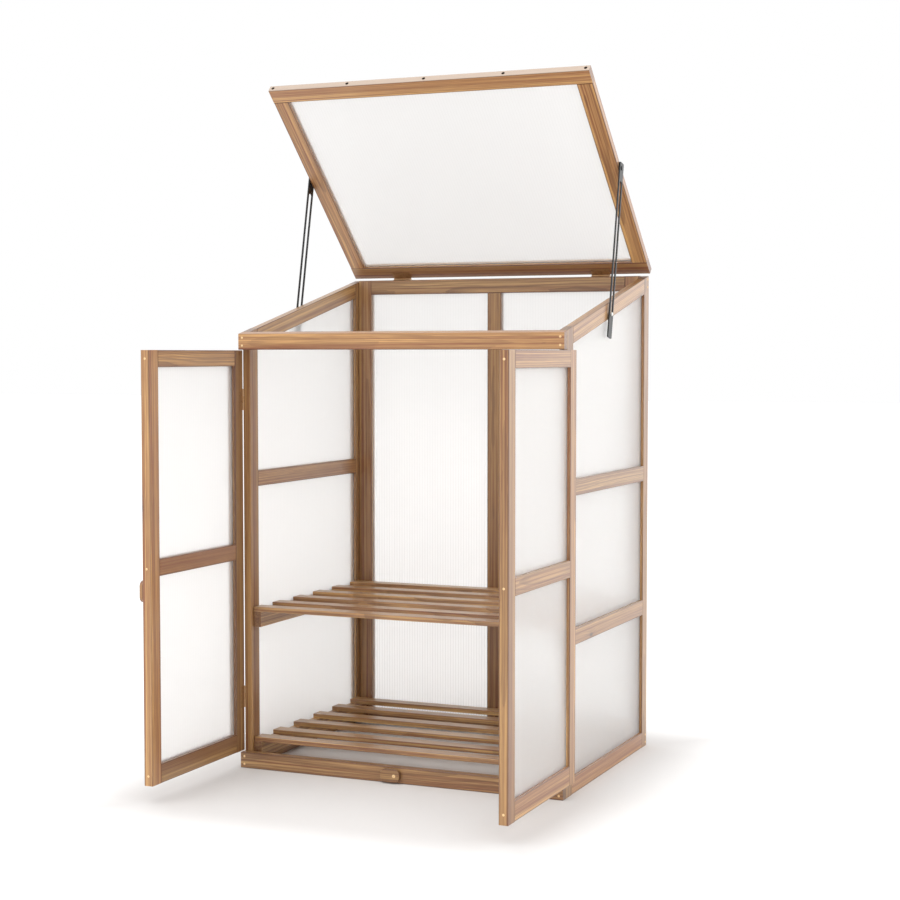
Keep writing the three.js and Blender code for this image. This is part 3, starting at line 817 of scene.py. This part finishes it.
def screw_tree(material):
    """The tree that makes the heads, with its sizes as named inputs."""
    tree = bpy.data.node_groups.new("screw_heads", "GeometryNodeTree")
    sockets = tree.interface
    sockets.new_socket("Geometry", in_out="INPUT", socket_type="NodeSocketGeometry")
    for name in ("Head", "Dome", "Recess"):
        sockets.new_socket(name, in_out="INPUT", socket_type="NodeSocketFloat")
    sockets.new_socket("Geometry", in_out="OUTPUT", socket_type="NodeSocketGeometry")

    def add(kind, settings=None, inputs=None):
        made = tree.nodes.new(kind)
        for name, value in (settings or {}).items():
            setattr(made, name, value)
        for name, value in (inputs or {}).items():
            if isinstance(value, bpy.types.NodeSocket):
                tree.links.new(value, made.inputs[name])
            else:
                made.inputs[name].default_value = value
        return made

    given = add("NodeGroupInput").outputs
    radius = add("ShaderNodeMath", {"operation": "MULTIPLY"}, {0: given["Head"], 1: 0.5}).outputs[0]
    ball = add("GeometryNodeMeshUVSphere", None, {"Segments": 24, "Rings": 12, "Radius": 1.0})
    flat = add("ShaderNodeCombineXYZ", None, {0: radius, 1: radius, 2: given["Dome"]})
    dome = add("GeometryNodeTransform", None, {
        "Geometry": ball.outputs["Mesh"], "Scale": flat.outputs[0]})
    size = add("ShaderNodeCombineXYZ", None, {0: radius, 1: given["Recess"], 2: given["Dome"]})
    bar = add("GeometryNodeMeshCube", None, {"Size": size.outputs[0]})
    up = add("ShaderNodeCombineXYZ", None, {2: given["Dome"]})
    cut = {"operation": "DIFFERENCE", "solver": "EXACT"}
    carve = add("GeometryNodeMeshBoolean", cut, {"Mesh 1": dome.outputs[0]})
    for turn in (0.0, math.pi / 2):
        arm = add("GeometryNodeTransform", None, {
            "Geometry": bar.outputs["Mesh"], "Translation": up.outputs[0], "Rotation": (0.0, 0.0, turn)})
        tree.links.new(arm.outputs[0], carve.inputs["Mesh 2"])
    facing = add("GeometryNodeInputNamedAttribute", {"data_type": "FLOAT_VECTOR"}, {"Name": "facing"})
    aim = add("FunctionNodeAlignRotationToVector", {"axis": "Z"}, {"Vector": facing.outputs[0]})
    heads = add("GeometryNodeInstanceOnPoints", None, {
        "Points": given["Geometry"], "Instance": carve.outputs[0], "Rotation": aim.outputs[0]})
    real = add("GeometryNodeRealizeInstances", None, {"Geometry": heads.outputs[0]})
    paint = add("GeometryNodeSetMaterial", None, {"Geometry": real.outputs[0], "Material": material})
    add("NodeGroupOutput", None, {"Geometry": paint.outputs[0]})
    return tree


def grown(name, places, tree, values):
    """Runs a tree on points that each have a facing, and keeps the result as a plain mesh."""
    spots, facings = zip(*places)
    points = bpy.data.meshes.new(name + "_points")
    points.from_pydata(spots, [], [])
    attribute = points.attributes.new("facing", "FLOAT_VECTOR", "POINT")
    for item, facing in zip(attribute.data, facings):
        item.vector = facing
    holder = bpy.data.objects.new(name + "_points", points)
    bpy.context.scene.collection.objects.link(holder)
    modifier = holder.modifiers.new("Heads", "NODES")
    modifier.node_group = tree
    for item in tree.interface.items_tree:
        if item.in_out == "INPUT" and item.name in values:
            modifier[item.identifier] = values[item.name]
    graph = bpy.context.evaluated_depsgraph_get()
    mesh = bpy.data.meshes.new_from_object(holder.evaluated_get(graph), depsgraph=graph)
    holder.modifiers.remove(modifier)
    bpy.data.objects.remove(holder)
    piece = bpy.data.objects.new(name, mesh)
    bpy.context.scene.collection.objects.link(piece)
    return piece


def middle(node):
    low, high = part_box(node)
    return (low + high) / 2


def cabinet_screws():
    """Two screws at each end of the front rails, and two for each back rail in the back posts' sides."""
    low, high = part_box("front_bottom_rail")
    width = high[2] - low[2]
    screws = []
    for rail in ("front_top_rail", "front_bottom_rail"):
        y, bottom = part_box(rail)[0][1:]
        for side in ("left", "right"):
            x = middle(side + "_back_post")[0]
            screws += [(Vector((x, y, bottom + width * share)), FRONT) for share in RAIL_SCREW_SHARES]
    y = middle("back_centre_post")[1]
    for side, facing, end in (("left", LEFT, 0), ("right", RIGHT, 1)):
        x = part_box(side + "_back_post")[end][0]
        for rail in ("back_top_rail", "back_bottom_rail"):
            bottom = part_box(rail)[0][2]
            screws += [(Vector((x, y, bottom + width * share)), facing) for share in RAIL_SCREW_SHARES]
    return screws


def door_screws(side):
    """One screw in the door's free edge for each of its rails."""
    low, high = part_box(side + "_door_free_stile")
    x = (low[0] + high[0]) / 2
    rails = [middle(side + "_door_" + rail + "_rail") for rail in ("top", "middle", "bottom")]
    return [(Vector((x, low[1], rail[2])), FRONT) for rail in rails]


def lid_screws(pitch, inset):
    """A row of screws along the lid's front edge."""
    low, high = levelled_box("lid_front_rail", pitch)
    turn = Matrix.Rotation(pitch, 3, "X")
    reach = high[0] - inset
    edge = (low + high) / 2
    return [
        (turn @ Vector((reach * share, low[1], edge[2])), turn @ FRONT)
        for share in LID_SCREW_SHARES
    ]


def screw_places(pitch, inset):
    """Where the screws sit, as pairs of a place and a facing, for each body."""
    door_pivot = Vector(joint("door_button_screw")["pos_m"])
    base_pivot = Vector(joint("base_button_screw")["pos_m"])
    door_pivot[0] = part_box("door_turn_button")[0][0]
    base_pivot[1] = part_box("base_turn_button")[0][1]
    return {
        "cabinet": cabinet_screws(),
        "left_door": door_screws("left"),
        "right_door": door_screws("right"),
        "lid": lid_screws(pitch, inset),
        "door_button": [(door_pivot, LEFT)],
        "base_button": [(base_pivot, FRONT)],
    }


class GREENHOUSE_OT_screws(bpy.types.Operator):
    """Sets the wood screws' heads on the boards and the turn buttons"""

    bl_idname = "greenhouse.screws"
    bl_label = "Set the screws"

    def execute(self, context):
        settings = context.scene.greenhouse_ironwork
        brass = plated(
            "screw_brass", settings.brass, settings.tarnish,
            settings.brass_metal, settings.brass_roughness)
        bright, dark = screw_tree(brass), screw_tree(sunk_screw(settings))
        pitch = context.scene.greenhouse_timber.lid_pitch
        for body, places in screw_places(pitch, settings.screw_inset).items():
            small = body.endswith("door") or body == "cabinet"
            head = settings.head if small else settings.large_head
            values = {"Head": head, "Dome": settings.dome, "Recess": settings.recess}
            piece = grown(body + "_screws", places, dark if body == "lid" else bright, values)
            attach(piece, body)
        return {"FINISHED"}


# Stage

def looked_at(tree):
    """1 for what is seen, straight, mirrored or through a sheet, and 0 for what lights the object."""
    path = tree.nodes.new("ShaderNodeLightPath")
    camera, mirrored, through, bounces = (
        Wire(tree, path.outputs[ray])
        for ray in ("Is Camera Ray", "Is Glossy Ray", "Is Transmission Ray", "Diffuse Depth"))
    return camera.math("MAXIMUM", mirrored).math("MAXIMUM", through) * (bounces < 0.5)


def beyond_box(part, axis):
    """How far a coordinate lies beyond the object's ends on an axis."""
    low, high = CAD_BOX[0][axis], CAD_BOX[1][axis]
    return abs(part - (low + high) / 2) - (high - low) / 2


def floor_material(settings):
    """A pale floor with painted shade near the object, where it looks a little darker."""
    material, shader, place = new_material("floor")
    x, y = place.parts()[:2]
    # Painted shade: the floor seen near the object is darker, fading out over the shade's reach
    away = beyond_box(x, 0).math("MAXIMUM", beyond_box(y, 1)).ramp(0.0, settings.shade_reach)
    seen = away.blend(opaque(settings.floor_near), opaque(settings.floor_seen))
    colour = looked_at(material.node_tree).blend(opaque(settings.floor), seen)
    feed(shader, Base_Color=colour, Roughness=0.9)
    return material


def sky(settings):
    """An even light from all sides that looks white."""
    world = bpy.data.worlds.new("studio")
    world.use_nodes = True
    tree = world.node_tree
    strength = looked_at(tree).blend(settings.sky, 1.0, "FLOAT")
    tree.links.new(strength.socket, tree.nodes["Background"].inputs["Strength"])
    tree.nodes["Background"].inputs["Color"].default_value = (1.0, 1.0, 1.0, 1.0)
    return world


def lamp(name, settings, towards):
    """A soft lamp whose light goes one way."""
    light = bpy.data.lights.new(name + "_lamp", "SUN")
    light.energy = getattr(settings, name)
    light.angle = settings.softness
    piece = bpy.data.objects.new(name + "_lamp", light)
    piece.rotation_euler = Vector(towards).to_track_quat("-Z", "Y").to_euler()
    bpy.context.scene.collection.objects.link(piece)


class GREENHOUSE_OT_stage(bpy.types.Operator):
    """Lays the floor, hangs the lamps and sets the camera"""

    bl_idname = "greenhouse.stage"
    bl_label = "Set the stage"

    def execute(self, context):
        settings = context.scene.greenhouse_stage
        size = settings.floor_size
        corners = [(-size, -size, 0), (size, -size, 0), (size, size, 0), (-size, size, 0)]
        mesh = bpy.data.meshes.new("floor")
        mesh.from_pydata(corners, [], [(0, 1, 2, 3)])
        floor = bpy.data.objects.new("floor", mesh)
        mesh.materials.append(floor_material(settings))
        context.scene.collection.objects.link(floor)
        context.scene.world = sky(settings)
        for name, towards in LAMP_DIRECTIONS.items():
            lamp(name, settings, towards)
        lens = bpy.data.cameras.new("camera")
        lens.lens = settings.lens
        lens.sensor_width = 36.0
        lens.clip_end = 200.0
        camera = bpy.data.objects.new("camera", lens)
        camera.location = settings.camera_place
        camera.rotation_euler = (math.pi / 2 - settings.camera_tip, 0, settings.camera_turn)
        context.scene.collection.objects.link(camera)
        context.scene.camera = camera
        context.scene.view_settings.view_transform = "Standard"
        return {"FINISHED"}


class GREENHOUSE_PT_finishes(bpy.types.Panel):
    """Lists the steps in the sidebar"""

    bl_label = "Mini greenhouse"
    bl_idname = "GREENHOUSE_PT_finishes"
    bl_space_type = "VIEW_3D"
    bl_region_type = "UI"
    bl_category = "Greenhouse"

    def draw(self, context):
        for step in OPERATORS:
            self.layout.operator(step.bl_idname)


SETTINGS = {
    "greenhouse_timber": TimberSettings,
    "greenhouse_glazing": GlazingSettings,
    "greenhouse_ironwork": IronworkSettings,
    "greenhouse_stage": StageSettings,
}
OPERATORS = (
    GREENHOUSE_OT_stage,
    GREENHOUSE_OT_timber,
    GREENHOUSE_OT_shelves,
    GREENHOUSE_OT_glazing,
    GREENHOUSE_OT_ironwork,
    GREENHOUSE_OT_screws,
)


def register():
    for item in (*SETTINGS.values(), *OPERATORS, GREENHOUSE_PT_finishes):
        bpy.utils.register_class(item)
    for name, group in SETTINGS.items():
        setattr(bpy.types.Scene, name, bpy.props.PointerProperty(type=group))


def unregister():
    for name in SETTINGS:
        delattr(bpy.types.Scene, name)
    for item in (GREENHOUSE_PT_finishes, *reversed(OPERATORS), *reversed(SETTINGS.values())):
        bpy.utils.unregister_class(item)


def main():
    register()
    bpy.ops.greenhouse.stage()
    bpy.ops.greenhouse.timber()
    bpy.ops.greenhouse.shelves()
    bpy.ops.greenhouse.glazing()
    bpy.ops.greenhouse.ironwork()
    bpy.ops.greenhouse.screws()


if __name__ == "__main__":
    main()
